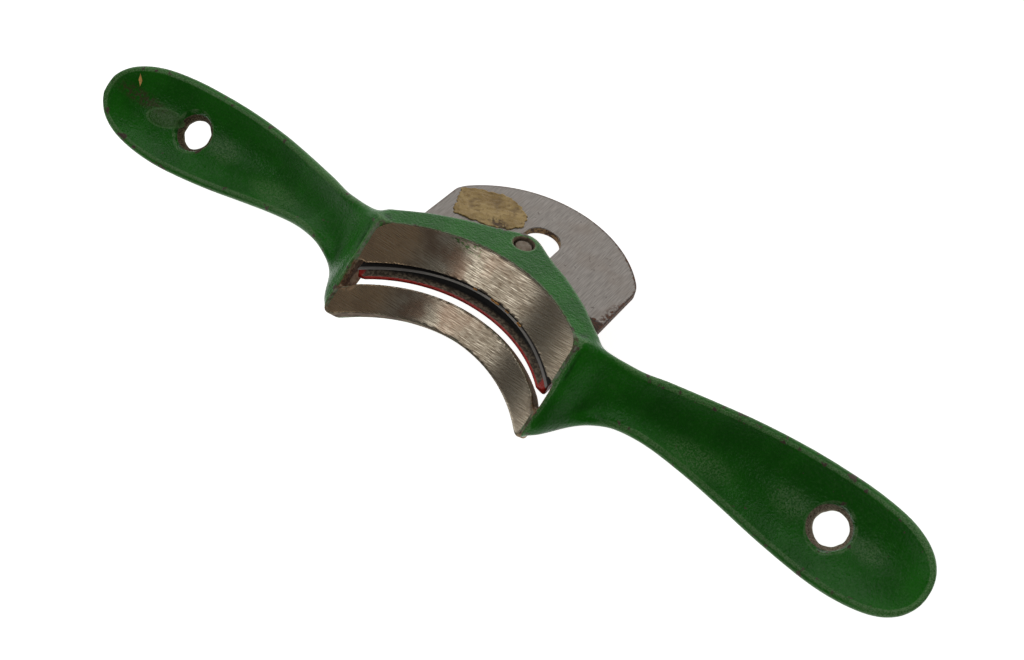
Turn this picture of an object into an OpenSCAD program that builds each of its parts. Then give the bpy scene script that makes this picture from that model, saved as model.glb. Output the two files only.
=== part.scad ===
// Hollow-face spokeshave: one iron casting with two raised handles, a flat cutting iron
// on a sloping bed, a lever cap and a knurled cap screw.
// It lies on its back with the sole up. X runs along the handles, Y from the toe to the rear,
// Z out of the sole. The origin is under the middle of the tool, at its lowest point.
// All sizes are in millimetres.

/* [Handles] */
// overall length over both handle tips
overall_length = 235; // [230:0.5:244]
// distance from the middle of the tool to each hanging hole
hole_distance = 93.7; // [90:0.1:96]
// radius of the straight wall of each hanging hole
hole_radius = 4.0; // [3:0.1:4.5]
// radius of the countersink at the dished side of each hanging hole
hole_rim_radius = 5.5; // [4.6:0.1:6.5]

/* [Sole] */
// radius of the hollow ground along the sole
hollow_radius = 46; // [42:0.5:54]
// half of the width of the ground sole
sole_half_width = 28.3; // [28:0.1:29]
// front edge of the toe strip, measured from the lip of the bed
toe_front = -14.4; // [-16:0.1:-13]
// rear edge of the toe strip, measured from the lip of the bed
toe_rear = -5.85; // [-7:0.05:-5]
// rear edge of the ground sole, measured from the lip of the bed
sole_rear = 11.55; // [10.5:0.05:12.5]
// thickness of the toe strip under the hollow
toe_depth = 6.5; // [5:0.1:8]

/* [Bed] */
// angle between the sole and the bed that carries the iron
bed_angle = 42; // [40:0.5:46]
// angle between the sole and the back of the bed
back_angle = 47.6; // [46:0.2:50]
// distance up the bed from its lip to the screw
screw_station = 30.4; // [29.5:0.1:31]

/* [Cutting iron] */
// width of the cutting iron
iron_width = 54; // [52:0.5:55]
// thickness of the cutting iron
iron_thickness = 2.0; // [1.8:0.1:2.4]
// distance up the bed from its lip to the top of the iron
iron_top = 57.3; // [54:0.1:60]
// radius of the rounded top of the iron
iron_top_radius = 32; // [30:0.5:36]
// angle of the ground bevel
bevel_angle = 30; // [26:1:35]
// how far the middle of the cutting edge stands back from the lip of the bed
edge_retreat = 0.9; // [0.5:0.1:1.5]
// how far the ends of the cutting edge reach down the bed from its middle
edge_fall = 14.35; // [13.5:0.05:15]
// width of the slot in the iron
slot_width = 9.8; // [8:0.1:11]
// lower end of the slot, at the middle of its half round
slot_low = 26; // [24:0.5:28]
// upper end of the slot, at the middle of its half round
slot_high = 40.5; // [38:0.5:42]

/* [Lever cap and screw] */
// how far the nose of the cap reaches past the cutting edge
nose_reach = 2.5; // [2:0.1:3]
// distance up the bed from its lip to the top end of the cap
cap_top = 38; // [36:0.5:39]
// height of the screw seat above the iron
seat_height = 6.5; // [5.5:0.1:7]
// radius of the knurled head of the screw
head_radius = 8.5; // [7:0.1:9]
// height of the knurled head
head_height = 5.5; // [4.5:0.1:6]
// radius of the screw's shank
shank_radius = 2.45; // [2.3:0.05:2.5]
// radial clearance of the shank in the bed
shank_clearance = 0.05; // [0.03:0.01:0.08]

/* [Hidden] */
$fn = 96;

// the tool is drawn with the lip of the bed at zero, then moved onto the origin
base_drop = iron_top * sin(bed_angle) + iron_thickness * cos(bed_angle);
middle_y = (iron_top * cos(bed_angle) + toe_front) / 2;

// depth of the hollow below the plane of the sole's two long edges
function hollow_depth(x) =
    sqrt(hollow_radius ^ 2 - x ^ 2) - sqrt(hollow_radius ^ 2 - sole_half_width ^ 2);
function arc_radius(half_chord, sag) = (half_chord ^ 2 + sag ^ 2) / (2 * sag);

sag = hollow_depth(0);
lip_station = sag / sin(bed_angle);
mouth_half = sole_half_width - 0.5;

module placed() {
    translate([0, -middle_y, base_drop]) children();
}

// local frame of the bed: y up the slope, z out of the back of the bed
module on_bed() {
    rotate([-bed_angle, 0, 0]) children();
}

module on_back() {
    translate([0, sole_rear, 0]) rotate([-back_angle, 0, 0]) children();
}

module both_sides() {
    children();
    mirror([1, 0, 0]) children();
}

module hollow_cylinder(radius) {
    axis_height = sqrt(hollow_radius ^ 2 - sole_half_width ^ 2);
    translate([0, 60, axis_height])
        rotate([90, 0, 0])
            cylinder(r = radius, h = 120, $fn = 180);
}

// ---------- handles ----------
// key stations: distance along the handle, front edge, rear edge, rim height, depth of the
// dish under the rim, depth of the back under the rim, drop of the front rim below the rear one
stations = [
    [26.8, -12.8, 12.4, 0.0, 0.0, 10.5, 0.0],
    [28.3, -12.6, 12.7, -0.1, 0.1, 10.5, 0.0],
    [29.8, -11.5, 13.2, -0.6, 0.6, 10.3, 0.3],
    [32.0, -9.1, 13.8, -1.6, 1.3, 9.9, 1.4],
    [34.5, -5.8, 14.2, -2.9, 1.9, 9.3, 3.0],
    [38.0, -2.8, 14.4, -4.4, 2.3, 8.8, 2.3],
    [43.0, -0.5, 14.8, -6.2, 2.7, 8.2, 0.4],
    [50.0, 0.6, 16.0, -8.7, 3.0, 7.8, 0.0],
    [60.0, -0.2, 17.7, -11.6, 3.3, 7.6, 0.0],
    [70.0, -1.8, 19.1, -13.5, 3.6, 7.7, 0.0],
    [82.0, -4.0, 19.9, -14.1, 3.9, 7.9, 0.0],
    [94.0, -5.6, 19.7, -13.1, 4.0, 8.0, 0.0],
    [101.0, -5.8, 19.0, -11.9, 3.8, 7.8, 0.0],
    [107.2, -5.1, 17.7, -10.5, 3.3, 7.3, 0.0],
    [111.6, -3.7, 15.8, -9.0, 2.6, 6.5, 0.0],
    [114.7, -1.5, 13.4, -7.6, 1.6, 5.3, 0.0],
    [116.5, 1.1, 10.8, -6.6, 0.7, 3.9, 0.0],
    [117.3, 3.4, 8.4, -6.1, 0.25, 2.6, 0.0],
    [117.5, 4.9, 6.9, -6.0, 0.1, 1.8, 0.0]
];
tip_station = stations[len(stations) - 1][0];

// smooth value of one column at place t between stations i and i + 1
function at(i) = stations[max(0, min(len(stations) - 1, i))];
function slope(i, column) =
    (at(i + 1)[column] - at(i - 1)[column]) / max(at(i + 1)[0] - at(i - 1)[0], 0.01);
function blend(i, t, column) =
    let (gap = at(i + 1)[0] - at(i)[0])
    (2 * t ^ 3 - 3 * t ^ 2 + 1) * at(i)[column]
    + (t ^ 3 - 2 * t ^ 2 + t) * gap * slope(i, column)
    + (3 * t ^ 2 - 2 * t ^ 3) * at(i + 1)[column]
    + (t ^ 3 - t ^ 2) * gap * slope(i + 1, column);

// one cross-section of the handle, as points round its outline
rim_width = 1.6;
edge_drop = 1.1;
section_steps = 12;
function lean(s, y) = s[6] * (s[2] - y) / (s[2] - s[1]);
function dish_side(s, u) =
    let (half = (s[2] - s[1]) / 2, middle = (s[2] + s[1]) / 2,
        inner = half - min(rim_width, half * 0.4), y = middle + inner * u)
    [s[0], y, s[3] - lean(s, y) - s[4] * (1 - u ^ 2)];
function back_side(s, a) =
    let (half = (s[2] - s[1]) / 2, y = (s[2] + s[1]) / 2 + half * cos(a),
        drop = min(edge_drop, s[5] * 0.3))
    [s[0], y, s[3] - lean(s, y) - drop - (s[5] - drop) * sin(a)];
function section(s) = concat(
    [for (k = [0 : section_steps]) dish_side(s, 2 * k / section_steps - 1)],
    [for (k = [0 : section_steps]) back_side(s, 180 * k / section_steps)]
);

half_steps = 2;
rows = concat(
    [for (i = [0 : len(stations) - 2], j = [0 : half_steps - 1])
        [for (c = [0 : 6]) c == 0
            ? at(i)[0] + (at(i + 1)[0] - at(i)[0]) * j / half_steps
            : blend(i, j / half_steps, c)]],
    [stations[len(stations) - 1]]
);
ring = 2 * (section_steps + 1);

module right_handle() {
    stretch = (overall_length / 2 - 60) / (tip_station - 60);
    points = [for (r = rows, p = section(r))
        [p[0] < 60 ? p[0] : 60 + (p[0] - 60) * stretch, p[1], p[2]]];
    last = (len(rows) - 1) * ring;
    sides = [for (r = [0 : len(rows) - 2], k = [0 : ring - 1])
        let (a = r * ring + k, b = r * ring + (k + 1) % ring)
        each [[a, b + ring, a + ring], [a, b, b + ring]]];
    inner_end = [for (k = [0 : section_steps - 1])
        each [[k, ring - 2 - k, k + 1], [k, ring - 1 - k, ring - 2 - k]]];
    outer_end = [for (f = inner_end) [last + f[0], last + f[2], last + f[1]]];
    polyhedron(points = points, faces = concat(sides, inner_end, outer_end), convexity = 6);
}

module hanging_hole() {
    translate([hole_distance, 7.1, -26]) {
        cylinder(r = hole_radius, h = 20);
        translate([0, 0, 7.2])
            cylinder(r1 = hole_radius, r2 = hole_rim_radius, h = 1.7);
        translate([0, 0, 8.9])
            cylinder(r = hole_rim_radius, h = 8);
    }
}

// ---------- centre of the casting ----------
module toe_plan() {
    front_radius = arc_radius(sole_half_width, 1.22 * sag);
    rear_radius = arc_radius(sole_half_width, 1.13 * sag);
    front_top = toe_front + 1.22 * sag;
    rear_top = toe_rear + 1.13 * sag;
    difference() {
        translate([-sole_half_width, toe_front])
            square([2 * sole_half_width, 30]);
        translate([0, front_top - front_radius])
            circle(r = front_radius, $fn = 180);
        difference() {
            translate([-60, toe_front + 1])
                square([120, 60]);
            translate([0, rear_top - rear_radius])
                circle(r = rear_radius, $fn = 180);
        }
    }
}

module toe_bar() {
    intersection() {
        translate([0, 0, -20])
            linear_extrude(20)
                toe_plan();
        hollow_cylinder(hollow_radius + toe_depth);
    }
}

// outline of the bed on its back face, half of it
bed_outline = [
    [28.3, -14], [28.3, 0], [31, 4], [30, 7], [27, 10.1], [23, 13.7], [18, 17.2],
    [14, 19.7], [10, 21.6], [6.5, 23.6], [3.2, 25.8], [1.6, 26.6], [0, 26.8]
];
module bed_plan() {
    outline = concat(
        bed_outline,
        [for (k = [len(bed_outline) - 2 : -1 : 0]) [-bed_outline[k][0], bed_outline[k][1]]]
    );
    polygon(outline);
}

module bed() {
    intersection() {
        on_back()
            translate([0, 0, -14])
                linear_extrude(14)
                    bed_plan();
        on_bed()
            translate([-40, -10, 0])
                cube([80, 60, 30]);
        translate([-40, -20, -40])
            cube([80, 80, 40]);
    }
}

module screw_hole() {
    on_bed()
        translate([0, screw_station, -1]) {
            cylinder(r = shank_radius + shank_clearance, h = 12);
            translate([0, 0, 5.9])
                cylinder(r1 = shank_radius + shank_clearance, r2 = 3.4, h = 1.2);
        }
}

module iron_and_cap_space() {
    on_bed()
        translate([-mouth_half, -30, -40])
            cube([2 * mouth_half, 100, 40]);
}

module body_casting() {
    color([0.09, 0.28, 0.08])
        placed()
            difference() {
                union() {
                    difference() {
                        union() {
                            both_sides() right_handle();
                            bed();
                        }
                        iron_and_cap_space();
                    }
                    toe_bar();
                }
                hollow_cylinder(hollow_radius);
                both_sides() hanging_hole();
                screw_hole();
            }
}

// ---------- cutting iron ----------
module iron_plan() {
    half = iron_width / 2;
    intersection() {
        translate([-half, -20])
            square([iron_width, 100]);
        translate([0, iron_top - iron_top_radius])
            circle(r = iron_top_radius, $fn = 180);
    }
    translate([-half, 0])
        square([iron_width, 41]);
}

module slot(width, low, high) {
    translate([0, low]) circle(d = width);
    translate([0, high]) circle(d = width);
    translate([-width / 2, low]) square([width, high - low]);
}

module bevel_cut() {
    bevel_sag = edge_fall * sin(bevel_angle);
    radius = arc_radius(iron_width / 2, bevel_sag);
    translate([0, lip_station + edge_retreat, -iron_thickness])
        rotate([bevel_angle, 0, 0])
            translate([0, 60, radius])
                rotate([90, 0, 0])
                    cylinder(r = radius, h = 120, $fn = 180);
}

module cutting_iron() {
    color([0.5, 0.5, 0.5])
        placed()
            on_bed()
                difference() {
                    translate([0, 0, -iron_thickness])
                        linear_extrude(iron_thickness)
                            difference() {
                                iron_plan();
                                slot(slot_width, slot_low, slot_high);
                            }
                    bevel_cut();
                }
}

// ---------- lever cap ----------
nose_station = lip_station - nose_reach;
nose_radius = arc_radius(27, lip_station * 0.93);
cap_half = 27.2;

module cap_plan() {
    difference() {
        intersection() {
            translate([-cap_half, 1.3])
                square([2 * cap_half, cap_top - 1.3]);
            union() {
                translate([0, cap_top - 16])
                    circle(r = 16);
                polygon([[-cap_half, 0], [cap_half, 0], [cap_half, 9], [15.2, 27], [-15.2, 27], [-cap_half, 9]]);
            }
        }
        translate([0, nose_station - nose_radius])
            circle(r = nose_radius, $fn = 180);
        slot(6.4, screw_station - 3, screw_station + 1.5);
    }
}

module cap_relief() {
    difference() {
        intersection() {
            translate([-20, 0])
                square([40, cap_top - 4]);
            translate([0, cap_top - 16])
                circle(r = 17);
        }
        translate([0, nose_station + 6 - nose_radius])
            circle(r = nose_radius, $fn = 180);
    }
}

module lever_cap() {
    color([0.65, 0.07, 0.05])
        placed()
            on_bed()
                mirror([0, 0, 1])
                    translate([0, 0, iron_thickness])
                        difference() {
                            union() {
                                linear_extrude(3.6)
                                    cap_plan();
                                intersection() {
                                    linear_extrude(seat_height)
                                        cap_plan();
                                    translate([0, screw_station - 1, 0])
                                        cylinder(r1 = 15, r2 = 10.5, h = seat_height);
                                }
                            }
                            translate([0, 0, -0.1])
                                linear_extrude(1.5)
                                    cap_relief();
                            nose_underside();
                            nose_top();
                        }
}

// the nose is thinned above and below, so that only its ridge presses on the iron
module nose_underside() {
    translate([0, nose_station + 3.6 - nose_radius, -2])
        cylinder(r1 = nose_radius + 1.0, r2 = nose_radius - 1.8, h = 3, $fn = 180);
}

module nose_top() {
    translate([0, nose_station - nose_radius, 1.9])
        cylinder(r1 = nose_radius, r2 = nose_radius + 4, h = 2, $fn = 180);
}

// ---------- cap screw ----------
module cap_screw() {
    seat = iron_thickness + seat_height;
    color([0.6, 0.58, 0.52])
        placed()
            on_bed()
                translate([0, screw_station, 0]) {
                    translate([0, 0, -seat - 1])
                        cylinder(r = shank_radius, h = seat + 6.4);
                    mirror([0, 0, 1])
                        translate([0, 0, seat])
                            knurled_head();
                }
}

module knurled_head() {
    difference() {
        union() {
            cylinder(r1 = head_radius - 1.6, r2 = head_radius, h = 0.8);
            translate([0, 0, 0.8])
                cylinder(r = head_radius, h = head_height - 1.4);
            translate([0, 0, head_height - 0.6])
                cylinder(r1 = head_radius, r2 = head_radius - 0.8, h = 0.6);
        }
        for (k = [0 : 35])
            rotate(k * 10)
                translate([head_radius + 0.15, 0, -0.1])
                    rotate(45)
                        translate([-0.35, -0.35, 0])
                            cube([0.7, 0.7, head_height + 1]);
        translate([-head_radius - 1, -0.6, head_height - 1.6])
            cube([2 * head_radius + 2, 1.2, 3]);
    }
}

body_casting();
cutting_iron();
lever_cap();
cap_screw();
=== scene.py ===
import math
import random

import bmesh
import bpy
import numpy as np
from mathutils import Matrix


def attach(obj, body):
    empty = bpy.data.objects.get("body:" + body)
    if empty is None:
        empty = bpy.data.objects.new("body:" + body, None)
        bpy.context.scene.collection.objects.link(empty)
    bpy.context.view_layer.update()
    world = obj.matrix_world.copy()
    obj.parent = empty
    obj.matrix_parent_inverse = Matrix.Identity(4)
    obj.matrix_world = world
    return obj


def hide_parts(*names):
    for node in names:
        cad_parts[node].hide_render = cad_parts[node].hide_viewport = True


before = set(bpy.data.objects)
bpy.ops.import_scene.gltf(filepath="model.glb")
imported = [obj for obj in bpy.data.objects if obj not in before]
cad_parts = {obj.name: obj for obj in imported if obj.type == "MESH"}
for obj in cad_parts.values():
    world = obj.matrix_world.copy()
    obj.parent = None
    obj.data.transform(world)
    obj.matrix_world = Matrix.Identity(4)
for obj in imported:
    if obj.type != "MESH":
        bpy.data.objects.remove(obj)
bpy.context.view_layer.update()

import openvdb as vdb
from mathutils import Matrix, Vector, noise

random.seed(7)
MM = 0.001

# ---- sizes shared with the design, in millimetres ----
HOLLOW_RADIUS = 46.0
SOLE_HALF = 28.3
TOE_FRONT = -14.4
TOE_REAR = -5.85
SOLE_REAR = 11.55
TOE_DEPTH = 6.5
SOLE_CORNER = 3.1
BED_ANGLE = math.radians(42)
BED_COS, BED_SIN = math.cos(BED_ANGLE), math.sin(BED_ANGLE)
UP_THE_BED = (0, BED_COS, -BED_SIN)
OUT_OF_BED = (0, BED_SIN, BED_COS)
BACK_ANGLE = math.radians(47.6)
SCREW_STATION, SCREW_HOLE_RADIUS = 30.4, 2.55
IRON_HALF = 27.0
IRON_THICKNESS = 2.0
IRON_TOP = 57.3
IRON_TOP_RADIUS = 32.0
MOUTH_HALF = 27.8
HOLE_X, HOLE_Y, HOLE_RADIUS = 93.7, 7.1, 4.0
# the hanging holes lean outwards by this much per millimetre, and are at HOLE_X at this level
HOLE_LEAN, HOLE_LEVEL = 0.14, -17.5
AXIS_HEIGHT = math.sqrt(HOLLOW_RADIUS ** 2 - SOLE_HALF ** 2)
SAG = HOLLOW_RADIUS - AXIS_HEIGHT
LIP_STATION = SAG / BED_SIN
# the design has the lip of the bed at zero; the row frame has the origin under the middle
MIDDLE_Y = (IRON_TOP * BED_COS + TOE_FRONT) / 2
BASE_DROP = IRON_TOP * BED_SIN + IRON_THICKNESS * BED_COS
OFFSET = np.array([0.0, -MIDDLE_Y, BASE_DROP])


def to_row(points):
    """Design millimetres to row-frame metres."""
    return (np.asarray(points, float) + OFFSET) * MM


def from_bed(points):
    """Bed frame (x, up the slope, out of the back) to design millimetres."""
    x, up, out = np.moveaxis(np.asarray(points, float), -1, 0)
    return np.stack([x, up * BED_COS + out * BED_SIN, out * BED_COS - up * BED_SIN], -1)


def design_points(mesh):
    """The points of a mesh, in design millimetres."""
    points = np.empty(len(mesh.vertices) * 3, np.float32)
    mesh.vertices.foreach_get("co", points)
    return points.reshape(-1, 3) / MM - OFFSET


def linked(name, data):
    """A new object with that mesh, light or camera, linked to the scene."""
    obj = bpy.data.objects.new(name, data)
    bpy.context.scene.collection.objects.link(obj)
    return obj


def ease(low, high, value):
    """Goes smoothly from 0 at low to 1 at high."""
    t = np.clip((value - low) / (high - low), 0, 1)
    return t * t * (3 - 2 * t)


def arc_radius(half_chord, sag):
    return (half_chord ** 2 + sag ** 2) / (2 * sag)


def hollow_depth(x):
    """How far the hollow of the sole lies below its rims, at x from the middle."""
    return np.sqrt(np.maximum(HOLLOW_RADIUS ** 2 - x * x, 0)) - AXIS_HEIGHT


# ---- distance fields ----
def blend_min(a, b, r):
    """Union with a round fillet of radius r."""
    u = np.maximum(r - a, 0)
    v = np.maximum(r - b, 0)
    return np.maximum(r, np.minimum(a, b)) - np.sqrt(u * u + v * v)


def blend_max(a, b, r):
    """Intersection with a rounded edge of radius r."""
    return -blend_min(-a, -b, r)


def polygon_distance(px, py, corners):
    """Signed distance to a closed polygon in its plane, negative inside."""
    c = np.asarray(corners, float)
    best = np.full(px.shape, 1e9)
    inside = np.zeros(px.shape, bool)
    for (ax, ay), (bx, by) in zip(c, np.roll(c, -1, 0)):
        ex, ey = bx - ax, by - ay
        t = np.clip(((px - ax) * ex + (py - ay) * ey) / (ex * ex + ey * ey), 0, 1)
        best = np.minimum(best, (px - ax - t * ex) ** 2 + (py - ay - t * ey) ** 2)
        if ay != by:
            crossing = ((py >= ay) != (py >= by)) & (px < ax + (py - ay) * ex / ey)
            inside ^= crossing
    d = np.sqrt(best)
    return np.where(inside, -d, d)


def smooth_field(field, passes):
    """A few passes of a small blur, which softens edges as a coat of enamel does."""
    for _ in range(passes):
        for axis in range(3):
            a = np.moveaxis(field, axis, 0)
            b = a.copy()
            b[1:-1] = (a[:-2] + 2 * a[1:-1] + a[2:]) / 4
            field = np.moveaxis(b, 0, axis)
    return field


def wavy(x, y, size, seed):
    """A smooth made-up field between about -1 and 1."""
    total = 0.0
    for k in range(5):
        angle = seed + 2.4 * k
        phase = seed * 3.7 + 1.9 * k
        along = x * math.cos(angle) + y * math.sin(angle)
        total = total + np.sin(along / size * (1 + 0.37 * k) + phase)
    return total / 3.2


# ---- handle loft ----
# distance along the handle, front edge, rear edge, height of the rear rim, depth of the dish,
# depth of the back, and how far the front rim lies below the rear one
STATIONS = np.array([
    [26.8, -12.0, 12.4, 0.0, 0.0, 10.5, 0.0],
    [28.3, -12.1, 12.7, -0.1, 0.1, 10.5, 0.0],
    [29.8, -11.2, 13.2, -0.6, 0.6, 10.3, 0.3],
    [31.0, -10.2, 13.6, -1.1, 0.5, 10.1, 0.8],
    [32.0, -9.1, 13.8, -1.6, 0.7, 9.9, 1.4],
    [33.0, -7.8, 14.0, -2.1, 0.9, 9.6, 2.2],
    [34.5, -5.8, 14.2, -2.9, 1.1, 9.3, 3.0],
    [36.0, -4.3, 14.3, -3.6, 1.4, 9.0, 3.0],
    [38.0, -2.8, 14.4, -4.4, 1.8, 8.8, 2.3],
    [43.0, -0.5, 14.8, -6.2, 2.7, 8.2, 0.4],
    [50.0, 0.6, 16.0, -8.7, 3.0, 7.8, 0.0],
    [60.0, -0.2, 17.7, -11.6, 3.3, 7.6, 0.0],
    [70.0, -1.8, 19.1, -13.5, 3.6, 7.7, 0.0],
    [82.0, -4.0, 19.9, -14.1, 3.9, 7.9, 0.0],
    [94.0, -5.6, 19.7, -13.1, 4.0, 8.0, 0.0],
    [101.0, -5.8, 19.0, -11.9, 3.8, 7.8, 0.0],
    [107.2, -5.1, 17.7, -10.5, 3.3, 7.3, 0.0],
    [111.6, -3.7, 15.8, -9.0, 2.6, 6.5, 0.0],
    [114.7, -1.5, 13.4, -7.6, 1.6, 5.3, 0.0],
    [116.5, 1.1, 10.8, -6.6, 0.7, 3.9, 0.0],
    [117.3, 3.4, 8.4, -6.1, 0.25, 2.6, 0.0],
    [117.5, 4.9, 6.9, -6.0, 0.1, 1.8, 0.0],
])
RIM_WIDTH = 1.6
EDGE_DROP = 1.1


def station_rows(steps):
    """Smooth rows between the key stations."""
    n = len(STATIONS)
    before = STATIONS[[max(i - 1, 0) for i in range(n)]]
    after = STATIONS[[min(i + 1, n - 1) for i in range(n)]]
    slope = (after - before) / np.maximum(after[:, :1] - before[:, :1], 0.01)
    rows = []
    for i in range(n - 1):
        gap = STATIONS[i + 1, 0] - STATIONS[i, 0]
        for j in range(steps):
            t = j / steps
            start = (1 + 2 * t) * STATIONS[i] + t * gap * slope[i]
            end = (3 - 2 * t) * STATIONS[i + 1] - (1 - t) * gap * slope[i + 1]
            row = (1 - t) ** 2 * start + t * t * end
            row[0] = STATIONS[i, 0] + gap * t
            rows.append(row)
    rows.append(STATIONS[-1])
    return rows


def handle_section(row, count):
    """One ring round the handle: the dished top from front to rear, then the round back."""
    x, front, rear, rim, dish, depth, twist = row
    half, middle = (rear - front) / 2, (rear + front) / 2
    inner = half - min(RIM_WIDTH, half * 0.4)
    drop = min(EDGE_DROP, depth * 0.3)
    u = np.linspace(-1, 1, count)
    a = np.linspace(0, math.pi, count)
    top_y = middle + inner * u
    back_y = middle + half * np.cos(a)
    lean_top = twist * (rear - top_y) / (2 * half)
    lean_back = twist * (rear - back_y) / (2 * half)
    along = np.full(count, x)
    top = np.stack([along, top_y, rim - lean_top - dish * (1 - u * u)], 1)
    back = np.stack([along, back_y, rim - lean_back - drop - (depth - drop) * np.sin(a)], 1)
    return np.concatenate([top, back])


def handle_mesh():
    """Points and triangles of the right handle."""
    count = 28
    rings = [handle_section(row, count) for row in station_rows(6)]
    ring = 2 * count
    points = np.concatenate(rings).astype(np.float32)
    faces = []
    for r in range(len(rings) - 1):
        for k in range(ring):
            a, b = r * ring + k, r * ring + (k + 1) % ring
            faces += [[a, b + ring, a + ring], [a, b, b + ring]]
    last = (len(rings) - 1) * ring
    for k in range(count - 1):
        faces += [[k, ring - 2 - k, k + 1], [k, ring - 1 - k, ring - 2 - k]]
        faces += [[last + k, last + k + 1, last + ring - 2 - k]]
        faces += [[last + k, last + ring - 2 - k, last + ring - 1 - k]]
    return points, np.array(faces, np.uint32)


# ---- distance field to mesh ----
def field_axes(low, high, voxel):
    """The first voxel's index, the number of voxels and the coordinates of a box, along x, y, z."""
    first = np.floor(np.array(low) / voxel).astype(int)
    count = np.ceil(np.array(high) / voxel).astype(int) - first + 1
    axes = [((first[i] + np.arange(count[i])) * voxel).astype(np.float32) for i in range(3)]
    return first, count, np.meshgrid(*axes, indexing="ij", sparse=True)


def field_object(name, half, first, voxel, place, mirrored=True):
    """Mesh of a field's surface, mirrored about x = 0; place makes its points design ones."""
    full = np.concatenate([half[:0:-1], half]) if mirrored else half
    start = (1 - len(half) if mirrored else int(first[0]), int(first[1]), int(first[2]))
    limit = np.float32(3 * voxel)
    grid = vdb.FloatGrid(float(limit))
    grid.copyFromArray(np.ascontiguousarray(np.clip(full, -limit, limit), np.float32), ijk=start)
    grid.transform = vdb.createLinearTransform(voxelSize=voxel)
    points, quads = grid.convertToQuads(0.0)
    mesh = bpy.data.meshes.new(name)
    mesh.vertices.add(len(points))
    mesh.vertices.foreach_set("co", to_row(place(points)).astype(np.float32).ravel())
    mesh.loops.add(quads.size)
    mesh.loops.foreach_set("vertex_index", quads[:, ::-1].astype(np.int32).ravel())
    mesh.polygons.add(len(quads))
    mesh.polygons.foreach_set("loop_start", np.arange(0, quads.size, 4, dtype=np.int32))
    mesh.update(calc_edges=True)
    mesh.validate()
    mesh.shade_smooth()
    return linked(name, mesh)


# ---- the casting ----
CASTING_VOXEL = 0.36
# how far from the lip its points are moved, how near its edge they go onto the edge, how far it
# stands clear of the iron, and how proud of the bed it starts, as the rounding wears it back
LIP_REACH, LIP_SNAP, LIP_CLEARANCE, LIP_PROUD = 1.0, 0.3, 0.08, 0.36
# right half of the bed's back: x, and distance down the back from the rear of the sole
BED_OUTLINE = [
    (28.3, -14), (28.3, 0), (31.0, 4.0), (30.0, 7.0), (27.0, 10.1), (23, 13.7), (18, 17.2),
    (14, 19.7), (10, 21.6), (6.5, 23.6), (3.2, 25.8), (1.6, 26.6), (0, 26.8),
]
# both edges of the toe strip are arcs in plan, about centres on the middle line
FRONT_SAG, REAR_SAG = 1.22 * SAG, 1.13 * SAG
FRONT_RADIUS, REAR_RADIUS = arc_radius(SOLE_HALF, FRONT_SAG), arc_radius(SOLE_HALF, REAR_SAG)
FRONT_CENTRE = TOE_FRONT + FRONT_SAG - FRONT_RADIUS
REAR_CENTRE = TOE_REAR + REAR_SAG - REAR_RADIUS
# the box round the right half, and where the parts that are worked on alone lie along x
CASTING_LOW, CASTING_HIGH = (0, -19, -27), (120.5, 31.5, 3)
NECK_FROM, BED_REACH, HOLE_FROM, HOLE_TO = 29, 50, 80, 108
ENAMEL_BLUR, NECK_BLUR = 0.9, 1.7


def handle_field(first, count, voxel):
    """Distance field of the lofted handle."""
    points, triangles = handle_mesh()
    level = vdb.FloatGrid.createLevelSetFromPolygons(
        points, triangles=triangles, transform=vdb.createLinearTransform(voxelSize=voxel),
        halfWidth=int(math.ceil(8 / voxel)))
    body = np.empty(tuple(count), np.float32)
    level.copyToArray(body, ijk=tuple(int(v) for v in first))
    return body


def bed_field(x, y, z, ones, out_of_bed):
    """The wedge behind the mouth, which carries the iron."""
    cos_back, sin_back = math.cos(BACK_ANGLE), math.sin(BACK_ANGLE)
    along_back = (y - SOLE_REAR) * cos_back - z * sin_back
    out_of_back = (y - SOLE_REAR) * sin_back + z * cos_back
    outline = BED_OUTLINE + [(-across, up) for across, up in BED_OUTLINE[-2::-1]]
    plan = polygon_distance(x * ones, along_back * ones, outline)
    bed = blend_max(plan, out_of_back * ones, 1.2)
    # left high over the mouth: the hollow is ground into it after the smoothing
    bed = blend_max(bed, (z - 1.5 * ease(27.0, 24.5, x)) * ones, 0.8)
    return np.maximum(bed, -out_of_bed * ones)


def toe_field(x, y, axis, behind_toe, ones):
    """The strip in front of the mouth."""
    toe = blend_max(FRONT_RADIUS - np.hypot(x, y - FRONT_CENTRE), x - SOLE_HALF, 2.1)
    toe = blend_max(toe, behind_toe, 0.5)
    return blend_max(toe * ones, axis - HOLLOW_RADIUS - TOE_DEPTH, 1.0)


def hanging_hole(body, x, y, z):
    """The body with its hanging hole, which has a rough wall and flares upwards."""
    radial = np.hypot(x - HOLE_X + HOLE_LEAN * (z - HOLE_LEVEL), y - HOLE_Y)
    radial = radial + 0.13 * wavy(x + 0.7 * z, y - 0.5 * z, 0.9, 0.7)
    flare = (radial - HOLE_RADIUS - (z + 18.9) * 0.62) * 0.85
    drilled = np.minimum(radial - HOLE_RADIUS, flare) * np.ones_like(body)
    return blend_max(body, -drilled, 0.35)


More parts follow.
